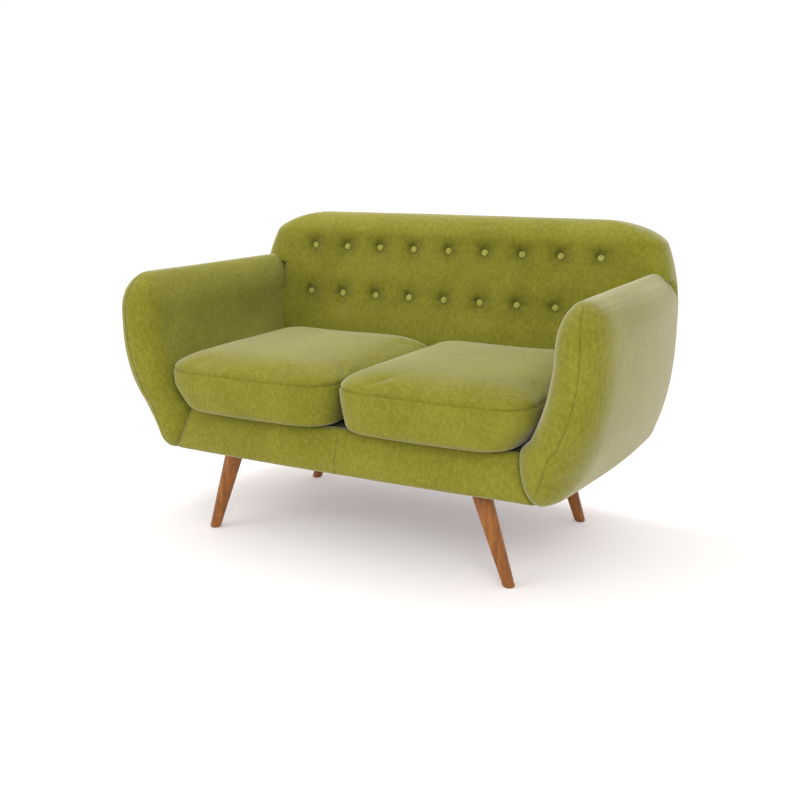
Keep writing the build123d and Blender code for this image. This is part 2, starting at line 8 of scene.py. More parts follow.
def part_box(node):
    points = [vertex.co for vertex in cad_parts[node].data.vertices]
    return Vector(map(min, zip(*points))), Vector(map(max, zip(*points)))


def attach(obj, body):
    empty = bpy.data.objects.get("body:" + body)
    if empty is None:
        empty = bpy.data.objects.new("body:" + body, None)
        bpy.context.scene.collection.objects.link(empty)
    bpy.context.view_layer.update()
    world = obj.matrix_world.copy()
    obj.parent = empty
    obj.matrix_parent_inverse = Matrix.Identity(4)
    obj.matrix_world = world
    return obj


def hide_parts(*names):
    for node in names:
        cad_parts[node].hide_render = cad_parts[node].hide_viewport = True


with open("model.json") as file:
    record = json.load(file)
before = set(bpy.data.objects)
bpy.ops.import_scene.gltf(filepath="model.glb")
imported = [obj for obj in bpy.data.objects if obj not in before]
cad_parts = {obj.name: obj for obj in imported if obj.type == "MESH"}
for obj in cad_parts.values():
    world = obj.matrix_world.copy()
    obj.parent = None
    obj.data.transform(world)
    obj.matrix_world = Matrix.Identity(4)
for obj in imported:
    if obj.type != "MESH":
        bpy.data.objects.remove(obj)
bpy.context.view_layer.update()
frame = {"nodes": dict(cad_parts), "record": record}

# ---- upholstery dimensions -----------------------------------------------------------------------
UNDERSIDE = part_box("front_rail_upholstery")[0][2]
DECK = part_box("seat_deck_pad")[1][2]          # top of the pad that the cushions lie on
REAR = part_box("arm_upholstery_right")[1][1]
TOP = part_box("back_upholstery")[1][2]
RAIL_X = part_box("seat_deck_pad")[1][0]

ARM_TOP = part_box("arm_upholstery_right")[1][2]
ARM_DOME = 0.600              # where the rounded top of an arm begins
ARM_OUTER_X, ARM_WIDE, ARM_OUTER_CURVE = 0.672, 0.540, 1.24
ARM_INNER_X, ARM_INNER_CURVE = 0.552, 1.19
ARM_REAR_X, ARM_REAR_WIDE, ARM_REAR_CURVE = 0.645, 0.480, 0.8
ARM_RIDGE_X = 0.602
NOSE_Y, NOSE_Z, NOSE_CURVE, NOSE_DOME = -0.395, 0.560, 0.24, 0.084
# how softly the arm turns under at its front, rear and outer side, and at the very edge
FOOT_EDGE_FRONT, FOOT_EDGE_REAR, FOOT_EDGE_SIDE, FOOT_RIM = 0.042, 0.034, 0.014, 0.008
CHEEK_DEPTH = 0.120           # the outer side turns into the nose over this depth
CHEEK_SQUARENESS = ((0.229, 1.5), (0.300, 1.85), (0.420, 2.6))    # by height: how full its corner is
SIDE_BOW = 0.014
FOOT_ROUND, ROUND_RISE = 0.018, 0.35    # depth of the inner cheek at the underside, and its growth upward
REAR_CORNER = 0.060
REAR_CURVE_Z, REAR_CURVE = 0.480, 0.62
SEAM_TOP_X, SEAM_FOOT_X, SEAM_POWER = 0.471, 0.514, 2.2    # rail cover against arm
# how far the front seam of an arm lies outside the middle of the nose, by height
FRONT_SEAM = (
    (0.240, -0.015), (0.270, -0.006), (0.300, 0.002), (0.340, 0.006), (0.380, 0.010),
    (0.520, 0.012), (0.600, 0.013), (0.700, 0.004),
)
ARM_END_ROUND = 0.030         # where an arm turns in under the back
# (y, z) at both ends of the seam where the back sits on an arm
SHOULDER_TOP, SHOULDER_REAR = (0.258, 0.702), (0.404, 0.598)
NO_UPPER_EDGE = 2.0           # higher than the sofa: a piece that is rounded at its lower edge only

BACK_LEAN, BACK_Y0, BACK_Z0 = 0.2165, 0.207, 0.480
BACK_HALF_WIDTH, BACK_WIDE, BACK_TAPER = 0.648, 0.600, 1.15
BACK_CORNER = 0.045
BACK_DOME, BACK_TOP_HALF_WIDTH, BACK_RIDGE_Y = 0.770, 0.430, 0.340
BACK_SIDE_X = 0.560           # beyond this the back stands on the arms
BUTTON_ROWS = (0.596, 0.734)
BUTTON_COLUMNS, BUTTON_PITCH = 9, 0.113
BUTTON_EDGE = 0.0105          # flat floor of a dimple, under its button
DIMPLE_DEPTH, DIMPLE_REACH = 0.0128, 0.0180
FOLDS, FOLD_DEPTH = 5, 0.0022           # short folds that run out of each dimple
BACK_FRONT_STEP, BACK_FRONT_STATIONS, BACK_STATIONS = 0.0047, 116, 150

CUSHION_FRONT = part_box("seat_cushion_cover_right")[0][1]
CUSHION_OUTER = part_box("seat_cushion_cover_right")[1][0]
CUSHION_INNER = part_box("seat_cushion_cover_right")[0][0]
CUSHION_SEAM = 0.456
CUSHION_CORNER = 0.080
CUSHION_TUCK = 0.013          # how much smaller the cushion is underneath than at its seam

CUSHION_SHOULDER, CUSHION_REACH = 0.0385, 0.105    # rise over the rounded edge, and how far in it goes
CUSHION_CROWN, CUSHION_MIDDLE = 0.0135, 0.241      # further rise towards the middle, and how far in that is

SEAM_DEPTH, SEAM_PUFF = 0.0024, 0.0005
SEAM_WIDTH, SEAM_SHADE = 0.0019, 0.24


# ---- mesh helpers --------------------------------------------------------------------------------
def clamp(value, low=0.0, high=1.0):
    return max(low, min(high, value))


def smooth(value, low=0.0, high=1.0):
    t = clamp((value - low) / (high - low))
    return t * t * (3 - 2 * t)


def mix(a, b, t):
    return a + (b - a) * t


def dome(z, low, high):
    """Share of the full thickness left at height z over a rounded top from low to high."""
    return math.sqrt(max(0.0, 1.0 - clamp((z - low) / (high - low)) ** 2))


def seam_groove(distance):
    """How far the cloth is drawn in at a seam, and swells beside it, at a distance along the cloth."""
    groove = math.exp(-((distance / SEAM_WIDTH) ** 2))
    swell = math.exp(-(((distance - 0.012) / 0.008) ** 2))
    return -SEAM_DEPTH * groove + SEAM_PUFF * swell


def seam_shade(distance):
    """Share of painted shade at a distance from a seam, where the groove falls dark."""
    return SEAM_SHADE * math.exp(-((distance / SEAM_WIDTH) ** 2))


def add_object(name, mesh):
    obj = bpy.data.objects.new(name, mesh)
    bpy.context.scene.collection.objects.link(obj)
    return obj


def ring_mesh(name, rings):
    """A closed surface through rings of equal length, from one end cap to the other."""
    count = len(rings[0])
    verts = [point for ring in rings for point in ring]
    faces = []
    for i in range(len(rings) - 1):
        for j in range(count):
            k = (j + 1) % count
            faces.append((i * count + j, i * count + k, (i + 1) * count + k, (i + 1) * count + j))
    for start, flip in ((0, True), ((len(rings) - 1) * count, False)):
        faces += ladder_cap(start, count, flip)
    mesh = bpy.data.meshes.new(name)
    mesh.from_pydata([tuple(v) for v in verts], [], faces)
    mesh.update()
    obj = add_object(name, mesh)
    shade_smooth(obj)
    return obj


def ladder_cap(start, count, flip):
    """Closes a ring with rungs from each side to the other, which keeps every corner to a few edges."""
    faces = [(0, 1, count - 1)]
    for j in range(1, (count + 1) // 2):
        far = count - j
        if far - j > 2:
            faces.append((j, j + 1, far - 1, far))
        elif far - j == 2:
            faces.append((j, j + 1, far))
    return [tuple(start + k for k in (reversed(face) if flip else face)) for face in faces]


def shade_smooth(obj):
    obj.data.polygons.foreach_set("use_smooth", [True] * len(obj.data.polygons))


def subdivide(obj, levels=1):
    modifier = obj.modifiers.new("Subdivision", "SUBSURF")
    modifier.levels = modifier.render_levels = levels
    modifier.use_limit_surface = False


def displace(obj, amount):
    """Moves every vertex along its normal by amount(point)."""
    normals = [v.normal.copy() for v in obj.data.vertices]
    for vertex, normal in zip(obj.data.vertices, normals):
        vertex.co += normal * amount(vertex.co)
    obj.data.update()


def mirror_copy(obj, name):
    mesh = obj.data.copy()
    for vertex in mesh.vertices:
        vertex.co.x = -vertex.co.x
    mesh.flip_normals()
    mesh.update()
    copy = add_object(name, mesh)
    return copy


def darken(obj, shares):
    """Records the painted shade at each corner of the mesh, in seams and dimples where shade falls, for the
    velvet to darken there.
    """
    layer = obj.data.attributes.new("painted_shade", "FLOAT", "POINT")
    layer.data.foreach_set("value", shares)


def spaced(low, high, count):
    return [mix(low, high, i / count) for i in range(count + 1)]


def with_seams(values, seams, near=(0.0012, 0.0026, 0.005, 0.009)):
    """Adds closely spaced stations on both sides of each seam, and drops the ones they crowd."""
    kept = [v for v in values if all(abs(v - s) > near[-1] * 1.3 for s in seams)]
    for s in seams:
        kept += [s] + [s + d for d in near] + [s - d for d in near]
    return sorted(kept)


def puff(obj, frames, pressure, cap, pinned, stiffness):
    """Fills a closed piece by cloth simulation, and lets no point move further than cap."""
    group = obj.vertex_groups.new(name="pin")
    for index, weight in pinned.items():
        group.add([index], weight, "REPLACE")
    rest = [v.co.copy() for v in obj.data.vertices]
    cloth = obj.modifiers.new("Cloth", "CLOTH")
    settings = cloth.settings
    settings.quality = 5
    settings.mass = 0.35
    settings.tension_stiffness = settings.compression_stiffness = stiffness
    settings.shear_stiffness = stiffness * 0.5
    settings.bending_stiffness = 0.8
    settings.tension_damping = settings.compression_damping = 12.0
    settings.air_damping = 4.0
    settings.use_pressure = True
    settings.uniform_pressure_force = pressure
    settings.vertex_group_mass = "pin"
    settings.effector_weights.gravity = 0.0
    cloth.collision_settings.use_collision = False
    cloth.point_cache.frame_start, cloth.point_cache.frame_end = 1, frames
    scene = bpy.context.scene
    for number in range(1, frames + 1):
        scene.frame_set(number)
    graph = bpy.context.evaluated_depsgraph_get()
    moved = [v.co.copy() for v in obj.evaluated_get(graph).data.vertices]
    obj.modifiers.remove(cloth)
    for vertex, start, end in zip(obj.data.vertices, rest, moved):
        step = end - start
        if step.length > cap:
            step *= cap / step.length
        vertex.co = start + step
    obj.data.update()
    scene.frame_set(1)


# ---- shared outlines -----------------------------------------------------------------------------
def rear_y(z):
    return REAR - REAR_CURVE * max(0.0, REAR_CURVE_Z - z) ** 2


def back_front_y(z):
    return BACK_Y0 + BACK_LEAN * (z - BACK_Z0)


def rail_seam_x(z):
    """Where the front rail's cover meets the arm."""
    t = clamp((DECK - z) / (DECK - UNDERSIDE))
    return mix(SEAM_TOP_X, SEAM_FOOT_X, t**SEAM_POWER)


def shoulder_y(z):
    """The seam where the back sits on the arm: how far back the arm reaches at height z."""
    (y0, z0), (y1, z1) = SHOULDER_TOP, SHOULDER_REAR
    return mix(y0, y1, (z0 - z) / (z0 - z1))


def edge_inset(z, low, high, radius):
    """Draws a ring in where the piece is rounded over at its lower and upper edges."""
    inset = 0.0
    for gap in (z - low, high - z):
        if gap < radius:
            inset += radius - math.sqrt(max(0.0, radius**2 - (radius - max(0.0, gap)) ** 2))
    return inset


def arc(start, middle, end, count):
    """Points from start to end on the circle through three points in the plane, without the last point."""
    (ax, ay), (bx, by), (cx, cy) = start, middle, end
    d = 2 * (ax * (by - cy) + bx * (cy - ay) + cx * (ay - by))
    if abs(d) < 1e-9:
        return [(mix(ax, cx, i / count), mix(ay, cy, i / count)) for i in range(count)]
    ux = ((ax**2 + ay**2) * (by - cy) + (bx**2 + by**2) * (cy - ay) + (cx**2 + cy**2) * (ay - by)) / d
    uy = ((ax**2 + ay**2) * (cx - bx) + (bx**2 + by**2) * (ax - cx) + (cx**2 + cy**2) * (bx - ax)) / d
    radius = math.hypot(ax - ux, ay - uy)
    a0 = math.atan2(ay - uy, ax - ux)
    am = math.atan2(by - uy, bx - ux)
    a1 = math.atan2(cy - uy, cx - ux)
    turn = (a1 - a0) % (2 * math.pi)
    if (am - a0) % (2 * math.pi) > turn:
        turn -= 2 * math.pi
    return [
        (ux + radius * math.cos(a0 + turn * i / count), uy + radius * math.sin(a0 + turn * i / count))
        for i in range(count)
    ]


def line(start, end, count):
    return [(mix(start[0], end[0], i / count), mix(start[1], end[1], i / count)) for i in range(count)]


def resample(points, stations):
    """Points at the given distances along an open line."""
    lengths = [0.0]
    for a, b in zip(points, points[1:]):
        lengths.append(lengths[-1] + math.dist(a, b))
    out, i = [], 0
    for s in stations:
        while i < len(lengths) - 2 and lengths[i + 1] < s:
            i += 1
        span = lengths[i + 1] - lengths[i]
        t = clamp((s - lengths[i]) / span) if span else 0.0
        out.append((mix(points[i][0], points[i + 1][0], t), mix(points[i][1], points[i + 1][1], t)))
    return out


def line_length(points):
    return sum(math.dist(a, b) for a, b in zip(points, points[1:]))


# ---- arms ----------------------------------------------------------------------------------------
ARM_STEPS = 64       # stations from the front seam to the rear, on either side


def between(table, value):
    """Linear reading of a short table of (value, result)."""
    for (a, low), (b, high) in zip(table, table[1:]):
        if value <= b:
            return mix(low, high, clamp((value - a) / (b - a)))
    return table[-1][1]


def arm_outline(z, inset):
    """Two lines at height z, both starting at the front seam: round the inside, and round the outside."""
    inner = rail_seam_x(z) if z < DECK else ARM_INNER_X - ARM_INNER_CURVE * max(0.0, ARM_DOME - z) ** 2
    if DECK <= z < DECK + 0.03:
        inner = mix(rail_seam_x(DECK), inner, smooth(z, DECK, DECK + 0.03))
    outer = ARM_OUTER_X - ARM_OUTER_CURVE * max(0.0, ARM_WIDE - z) ** 2
    outer -= edge_inset(z, UNDERSIDE, NO_UPPER_EDGE, FOOT_EDGE_SIDE)
    rear_round = edge_inset(z, UNDERSIDE, NO_UPPER_EDGE, FOOT_EDGE_REAR)
    outer_rear = ARM_REAR_X - ARM_REAR_CURVE * max(0.0, ARM_REAR_WIDE - z) ** 2 - 0.5 * rear_round
    full = dome(z, ARM_DOME, ARM_TOP)
    pull = (1.0 - full) ** 2
    middle = mix((inner + outer) / 2, ARM_RIDGE_X, pull)
    rear_inner = max(inner, RAIL_X)
    rear_middle = mix((rear_inner + outer_rear) / 2, ARM_RIDGE_X, pull)
    half = max(0.001, (outer - inner) / 2 * full - inset)
    rear_half = max(0.001, (outer_rear - rear_inner) / 2 * full - inset)
    nose = NOSE_Y + NOSE_CURVE * (z - NOSE_Z) ** 2 + NOSE_DOME * (1.0 - full)
    nose += edge_inset(z, UNDERSIDE, NO_UPPER_EDGE, FOOT_EDGE_FRONT)
    under_back = z > SHOULDER_REAR[1]
    inner_rear = min(rear_y(z), shoulder_y(z) + ARM_END_ROUND * 0.8 if under_back else REAR)
    rear = inner_rear - rear_round
    corner = mix(REAR_CORNER, ARM_END_ROUND, smooth(z, SHOULDER_REAR[1] - 0.02, SHOULDER_REAR[1] + 0.05))
    corner = min(corner, rear_half * 0.98)
    depth = min(half, FOOT_ROUND + ROUND_RISE * (z - UNDERSIDE))
    cheek = nose + depth
    diagonal = (middle - half * 0.70711, nose + depth * 0.29289)
    inside = arc((middle, nose), diagonal, (middle - half, cheek), 16)
    inside += line((middle - half, cheek), (rear_middle - rear_half, inner_rear), 20)
    inside.append((rear_middle - rear_half, inner_rear))
    bow = SIDE_BOW * max(full, 0.05)
    turn = CHEEK_DEPTH * clamp(half / 0.06, 0.2, 1.0)
    length = rear - corner - nose
    power = between(CHEEK_SQUARENESS, z)
    outside = []
    for i in range(50):
        along = (i / 50) ** 1.7
        t = clamp(along * length / turn)
        across = (1.0 - (1.0 - t) ** power) ** (1.0 / power)
        side = mix(middle + half, rear_middle + rear_half, along) + bow * 4 * along * (1 - along)
        outside.append((middle + (side - middle) * across, nose + along * length))
    bulge = corner * (1 - math.sqrt(0.5))
    outside += arc(
        (rear_middle + rear_half, rear - corner),
        (rear_middle + rear_half - bulge, rear - bulge),
        (rear_middle + rear_half - corner, rear),
        8,
    )
    outside += line((rear_middle + rear_half - corner, rear), (rear_middle - rear_half, inner_rear), 6)
    aside = clamp(between(FRONT_SEAM, z) * full, -half * 0.4, half * 0.4)
    return seam_first(inside, outside, middle + aside)


def seam_first(inside, outside, seam_x):
    """Shifts the point where both lines start from the tip of the nose to the seam."""
    from_line, to_line = (outside, inside) if seam_x > inside[0][0] else (inside, outside)
    moved = []
    while len(from_line) > 2 and (from_line[1][0] - seam_x) * (from_line[0][0] - seam_x) > 0:
        moved.append(from_line.pop(0))
    a, b = from_line[0], from_line[1]
    t = clamp((seam_x - a[0]) / (b[0] - a[0])) if b[0] != a[0] else 0.0
    seam = (seam_x, mix(a[1], b[1], t))
    moved.append(from_line.pop(0))
    from_line.insert(0, seam)
    to_line[:1] = [seam] + list(reversed(moved))
    return inside, outside


def arm_levels():
    foot = [UNDERSIDE + FOOT_RIM * (1 - math.cos(math.radians(a))) for a in (8, 30, 50, 70, 90)]
    side = spaced(foot[-1] + 0.006, ARM_DOME, 52)
    over = [ARM_DOME + (ARM_TOP - ARM_DOME) * math.sin(math.radians(a)) for a in range(3, 87, 3)]
    return foot + side + over


def arm_wrinkles(point):
    """Gathers that fan back from the front seam along the ridge, and a slightly uneven filling."""
    x, y, z = point
    behind = y - NOSE_Y
    across = math.atan2(z - 0.655, x - ARM_RIDGE_X)
    outer_side = smooth(x, ARM_RIDGE_X - 0.02, ARM_RIDGE_X + 0.01)
    on_ridge = smooth(z, 0.60, 0.66) * smooth(behind, 0.0, 0.04) * outer_side
    strength = on_ridge * (0.35 + 0.65 * (1 - smooth(behind, 0.06, 0.36)) + 0.4 * smooth(behind, 0.5, 0.62))
    gather = noise.noise(Vector((across * 6.5, behind * 3.5, z * 34.0)))
    uneven = noise.noise(Vector((x * 7.0, y * 5.0, z * 7.0)))
    return strength * 0.0022 * gather + 0.0014 * uneven


def make_arm():
    rings, shades = [], []
    near = [0.0012, 0.0026, 0.005, 0.009]
    for z in arm_levels():
        inset = edge_inset(z, UNDERSIDE, NO_UPPER_EDGE, FOOT_RIM)
        inside, outside = arm_outline(z, inset)
        sides = []
        for points in (inside, outside):
            length = line_length(points)
            stations = near + [mix(near[-1], length, (i / ARM_STEPS)) for i in range(1, ARM_STEPS + 1)]
            placed = resample(points, stations)
            sides.append(list(zip(placed, stations)))
        start = (inside[0], 0.0)
        loop = [start] + sides[1] + list(reversed(sides[0][:-1]))
        ring = []
        strength = smooth(z, UNDERSIDE + 0.02, UNDERSIDE + 0.05)
        strength *= 1 - smooth(z, ARM_TOP - 0.012, ARM_TOP)
        for i, ((x, y), distance) in enumerate(loop):
            before, after = loop[i - 1][0], loop[(i + 1) % len(loop)][0]
            along = Vector((after[0] - before[0], after[1] - before[1]))
            out = Vector((along.y, -along.x)).normalized() if along.length else Vector((0, 0))
            amount = seam_groove(distance) * strength if distance < 0.05 else 0.0
            ring.append((x + out.x * amount, y + out.y * amount, z))
        rings.append(ring)
        # painted shade along the front seam
        shades += [strength * seam_shade(distance) for point, distance in loop]
    arm = ring_mesh("arm_right", rings)
    darken(arm, shades)
    displace(arm, arm_wrinkles)
    return arm


# ---- back ----------------------------------------------------------------------------------------
def buttons():
    first = -BUTTON_PITCH * (BUTTON_COLUMNS - 1) / 2
    return [(first + i * BUTTON_PITCH, z) for z in BUTTON_ROWS for i in range(BUTTON_COLUMNS)]


BACK_BOTTOM = DECK + 0.02


def back_outline(z):
    """Half of the back at height z, from the front's middle round the side to the rear's middle."""
    full = dome(z, BACK_DOME, TOP)
    front = mix(BACK_RIDGE_Y, back_front_y(z), full)
    rear = mix(BACK_RIDGE_Y, rear_y(z), full)
    wide = BACK_HALF_WIDTH - BACK_TAPER * max(0.0, z - BACK_WIDE) ** 2
    wide = mix(BACK_TOP_HALF_WIDTH, wide, full)
    depth = rear - front
    rear_r, front_r = min(REAR_CORNER, depth * 0.5), min(BACK_CORNER, depth * 0.4)
    if z < SHOULDER_REAR[1]:
        wide, rear_r, front_r = BACK_SIDE_X + 0.006, 0.003, 0.004
    shoulder = max(front, min(shoulder_y(z), rear - rear_r - 0.004)) if z < SHOULDER_TOP[1] else front
    if z >= SHOULDER_REAR[1] and shoulder > front + front_r:
        points = [(0.0, front), (BACK_SIDE_X, front), (BACK_SIDE_X + 0.002, shoulder)]
        edge = mix(0.008, BACK_CORNER, smooth(z, 0.62, SHOULDER_TOP[1]))
        edge = min(edge, max(0.001, (rear - rear_r - shoulder) * 0.6))
        diagonal = (wide - edge * 0.29, shoulder + edge * 0.29)
        points += arc((wide - edge, shoulder), diagonal, (wide, shoulder + edge), 4)
        points.append((wide, shoulder + edge))
    else:
        points = [(0.0, front)]
        bulge = front_r * (1 - math.sqrt(0.5))
        points += arc((wide - front_r, front), (wide - bulge, front + bulge), (wide, front + front_r), 8)
        points.append((wide, front + front_r))
    bulge = rear_r * (1 - math.sqrt(0.5))
    points += arc((wide, rear - rear_r), (wide - bulge, rear - bulge), (wide - rear_r, rear), 8)
    points += [(wide - rear_r, rear), (0.0, rear)]
    return points


def tuft_depth(x, z):
    """Depth of the hollows drawn in by the buttons, with short folds running out of each."""
    total = 0.0
    for number, (bx, bz) in enumerate(buttons()):
        dx, dz = x - bx, z - bz
        r = math.hypot(dx, dz)
        if r > 0.11:
            continue
        away = max(0.0, r - BUTTON_EDGE)
        angle = math.atan2(dz, dx)
        wobble = noise.noise(Vector((math.cos(angle) * 1.3, math.sin(angle) * 1.3, number * 3.7)))
        reach = DIMPLE_REACH * (1.0 + 0.5 * wobble)
        total = max(total, 0.0) + DIMPLE_DEPTH * math.exp(-((away / reach) ** 0.95))
        fold = math.cos(angle * FOLDS + number * 2.1 + 2.5 * wobble)
        total += FOLD_DEPTH * fold * smooth(r, 0.009, 0.018) * math.exp(-away / 0.020)
    return total


def dimple_shade(x, z):
    """Painted shade in each dimple, darkest above its button and towards the left, where the hollow falls
    into shadow.
    """
    shade = 0.0
    for bx, bz in buttons():
        r = math.hypot(x - bx, z - bz)
        if r < 0.08:
            above = math.hypot(x - bx + 0.007, z - bz - 0.006)
            deep = 0.85 * math.exp(-((above / 0.017) ** 2))
            wide = 0.42 * math.exp(-((r / 0.034) ** 2))
            shade = max(shade, deep, wide)
    return shade


def make_back():
    rings = []
    levels = spaced(BACK_BOTTOM, BACK_DOME, 84)
    levels = with_seams(levels, [SHOULDER_REAR[1]], near=(0.0006, 0.0016))
    levels += [BACK_DOME + (TOP - BACK_DOME) * math.sin(math.radians(a)) for a in range(5, 89, 4)]
    for z in levels:
        points = back_outline(z)
        length = line_length(points)
        front_part = [BACK_FRONT_STEP * i for i in range(BACK_FRONT_STATIONS)]
        rest = spaced(front_part[-1], length, BACK_STATIONS - BACK_FRONT_STATIONS)[1:]
        half = resample(points, front_part + rest)
        ring = [(x, y, z) for x, y in half] + [(-x, y, z) for x, y in reversed(half[1:-1])]
        rings.append(ring)
    back = ring_mesh("back", rings)
    push = Vector((0.0, 1.0, -BACK_LEAN)).normalized()
    fixed, places, shades = {}, buttons(), []
    for vertex in back.data.vertices:
        x, y, z = vertex.co
        on_front = abs(y - back_front_y(z)) < 0.003 and vertex.normal.y < -0.5 and z < BACK_DOME + 0.001
        hold = 1.0
        # painted shade in the dimples round the buttons
        shades.append(dimple_shade(x, z) if on_front else 0.0)
        if on_front:
            vertex.co += push * tuft_depth(x, z) * (1.0 - smooth(z, BACK_DOME - 0.022, BACK_DOME))
            gap = min(math.hypot(x - bx, z - bz) for bx, bz in places)
            edge = min(BACK_SIDE_X - abs(x), z - BACK_BOTTOM - 0.05, BACK_DOME + 0.02 - z)
            hold = max(1.0 - smooth(gap, 0.011, 0.022), 1.0 - smooth(edge, 0.0, 0.035))
        if hold > 0.001:
            fixed[vertex.index] = hold
    darken(back, shades)
    puff(back, frames=10, pressure=4.0, cap=0.0014, pinned=fixed, stiffness=20.0)
    displace(back, lambda p: 0.0012 * noise.noise(Vector((p.x * 6, p.y * 6, p.z * 8))))
    return back


# ---- front rail cover ----------------------------------------------------------------------------
RAIL_FOOT_Y, RAIL_TOP_Y, RAIL_REAR_Y = -0.3465, -0.333, -0.3257
RAIL_BOW_FOOT, RAIL_BOW_TOP, RAIL_BELLY = 0.0105, 0.009, 0.014


def make_rail_cover():
    """The padded band under the cushions, bowed forward, with a seam in the middle."""
    columns = with_seams(spaced(-1.0, 1.0, 90), [0.0], near=(0.0024, 0.0052, 0.010, 0.018))
    heights = spaced(0.0, 1.0, 16)
    rings, shades = [], []
    for t in columns:
        section = []
        for h in heights:
            z = mix(UNDERSIDE, DECK - 0.002, h)
            x = t * (rail_seam_x(z) + 0.004)
            ends = mix(RAIL_FOOT_Y, RAIL_TOP_Y, h)
            bow = mix(RAIL_BOW_FOOT, RAIL_BOW_TOP, h) * (1 - t * t)
            belly = RAIL_BELLY * math.sin(math.pi * h**0.8)
            edge = 0.007 * (1 - math.sqrt(max(0.0, 1 - (1 - clamp(min(h, 1 - h) * 17.0)) ** 2)))
            groove = seam_groove(abs(t) * 0.5)
            tuck = 0.006 * (1 - smooth(1 - abs(t), 0.006, 0.024))
            # painted shade along the middle seam and in the corners where the cover meets the arms
            shades.append(max(seam_shade(abs(t) * 0.5), 0.3 * (1 - smooth(1 - abs(t), 0.006, 0.020))))
            section.append((x, ends - bow - belly + edge - groove + tuck, z))
        z_top, z_low = section[-1][2], section[0][2]
        x_top, x_low = section[-1][0], section[0][0]
        section += [(x_top, RAIL_REAR_Y, z_top - 0.001), (x_low, RAIL_REAR_Y, z_low + 0.001)]
        shades += [0.0, 0.0]
        rings.append(section)
    cover = ring_mesh("front_rail_cover", rings)
    darken(cover, shades)
    displace(cover, lambda p: 0.001 * noise.noise(Vector((p.x * 9, 0.0, p.z * 14))))
    return cover


# ---- cushions ------------------------------------------------------------------------------------
def cushion_outline(z, inset, count):
    """A rounded rectangle with slightly bowed sides, at evenly spaced points."""
    outer = min(CUSHION_OUTER, ARM_INNER_X - ARM_INNER_CURVE * max(0.0, ARM_DOME - z) ** 2 - 0.003) - inset
    inner = CUSHION_INNER + inset
    under_seam = 0.6 * min(inset, CUSHION_TUCK) if z < CUSHION_SEAM - 0.004 else 0.0
    front = CUSHION_FRONT + 0.006 + inset - under_seam
    rear = back_front_y(min(z, CUSHION_SEAM)) - 0.006 - inset
    width, depth = outer - inner, rear - front
    r = max(0.008, min(CUSHION_CORNER - 0.15 * inset, width * 0.45, depth * 0.45))
    rr = min(r, 0.045)
    bulge, rear_bulge = r * (1 - math.sqrt(0.5)), rr * (1 - math.sqrt(0.5))
    bow = 0.006 * clamp(1 - inset / 0.1)
    middle_x = (inner + outer) / 2
    points = arc((inner + r, front), (middle_x, front - bow), (outer - r, front), 12)
    points += arc((outer - r, front), (outer - bulge, front + bulge), (outer, front + r), 8)
    points += line((outer, front + r), (outer, rear - rr), 10)
    points += arc((outer, rear - rr), (outer - rear_bulge, rear - rear_bulge), (outer - rr, rear), 6)
    points += line((outer - rr, rear), (inner + rr, rear), 10)
    points += arc((inner + rr, rear), (inner + rear_bulge, rear - rear_bulge), (inner, rear - rr), 6)
    points += line((inner, rear - rr), (inner, front + r), 10)
    points += arc((inner, front + r), (inner + bulge, front + bulge), (inner + r, front), 8)
    points.append(points[0])
    return resample(points, spaced(0.0, line_length(points), count)[:-1])


CUSHION_UNDER = (0.235, 0.19, 0.15, 0.115, 0.085, 0.062, 0.046)    # insets of the flat rings underneath
CUSHION_STATIONS = 190


def cushion_profile():
    """(inset, height) from under the cushion, round the lower edge, up the boxing and over the crown."""
    low, edge, tuck = DECK + 0.0006, 0.018, CUSHION_TUCK
    profile = [(inset, low) for inset in CUSHION_UNDER]
    for a in range(0, 91, 9):
        angle = math.radians(a)
        profile.append((tuck + edge * (1 - math.sin(angle)), low + edge * (1 - math.cos(angle))))
    for i in range(1, 13):
        share = i / 12
        profile.append((tuck * (1 - share) ** 1.7, mix(low + edge, CUSHION_SEAM - 0.006, share)))
    seam_row = len(profile) + 2
    profile += [(0.0002, CUSHION_SEAM - 0.0034), (0.0022, CUSHION_SEAM - 0.0016), (0.0046, CUSHION_SEAM)]
    profile += [(0.0030, CUSHION_SEAM + 0.0018), (0.0016, CUSHION_SEAM + 0.0042)]
    insets = (0.0024, 0.0050, 0.0078, 0.0115, 0.016, 0.022, 0.029, 0.037, 0.046, 0.056, 0.068)
    insets += (0.082, 0.098, 0.115, 0.133, 0.152, 0.172, 0.192, 0.212, 0.23, CUSHION_MIDDLE)
    for inset in insets:
        profile.append((inset, CUSHION_SEAM + crown(inset)))
    return profile, seam_row


def crown(inset):
    """Height of the top above the seam at a distance in from the edge."""
    shoulder = CUSHION_SHOULDER * math.sqrt(1 - (1 - clamp(inset / CUSHION_REACH)) ** 2)
    return shoulder + CUSHION_CROWN * math.sin(math.pi / 2 * clamp(inset / CUSHION_MIDDLE))


def make_cushion(name):
    profile, seam_row = cushion_profile()
    count = CUSHION_STATIONS
    rings = [[(x, y, z) for x, y in cushion_outline(z, inset, count)] for inset, z in profile]
    cushion = ring_mesh(name, rings)
    shades = [seam_shade((row - seam_row) * SEAM_WIDTH) for row in range(len(rings)) for j in range(count)]
    darken(cushion, shades)
    fixed = {}
    for row in [*range(len(CUSHION_UNDER)), seam_row]:
        for j in range(count):
            fixed[row * count + j] = 1.0
    puff(cushion, frames=14, pressure=3.0, cap=0.003, pinned=fixed, stiffness=30.0)
    displace(cushion, cushion_unevenness)
    return cushion


def cushion_unevenness(point):
    x, y, z = point
    if z < DECK + 0.01:
        return 0.0
    return 0.0018 * noise.noise(Vector((x * 7.0, y * 7.0, z * 9.0)))


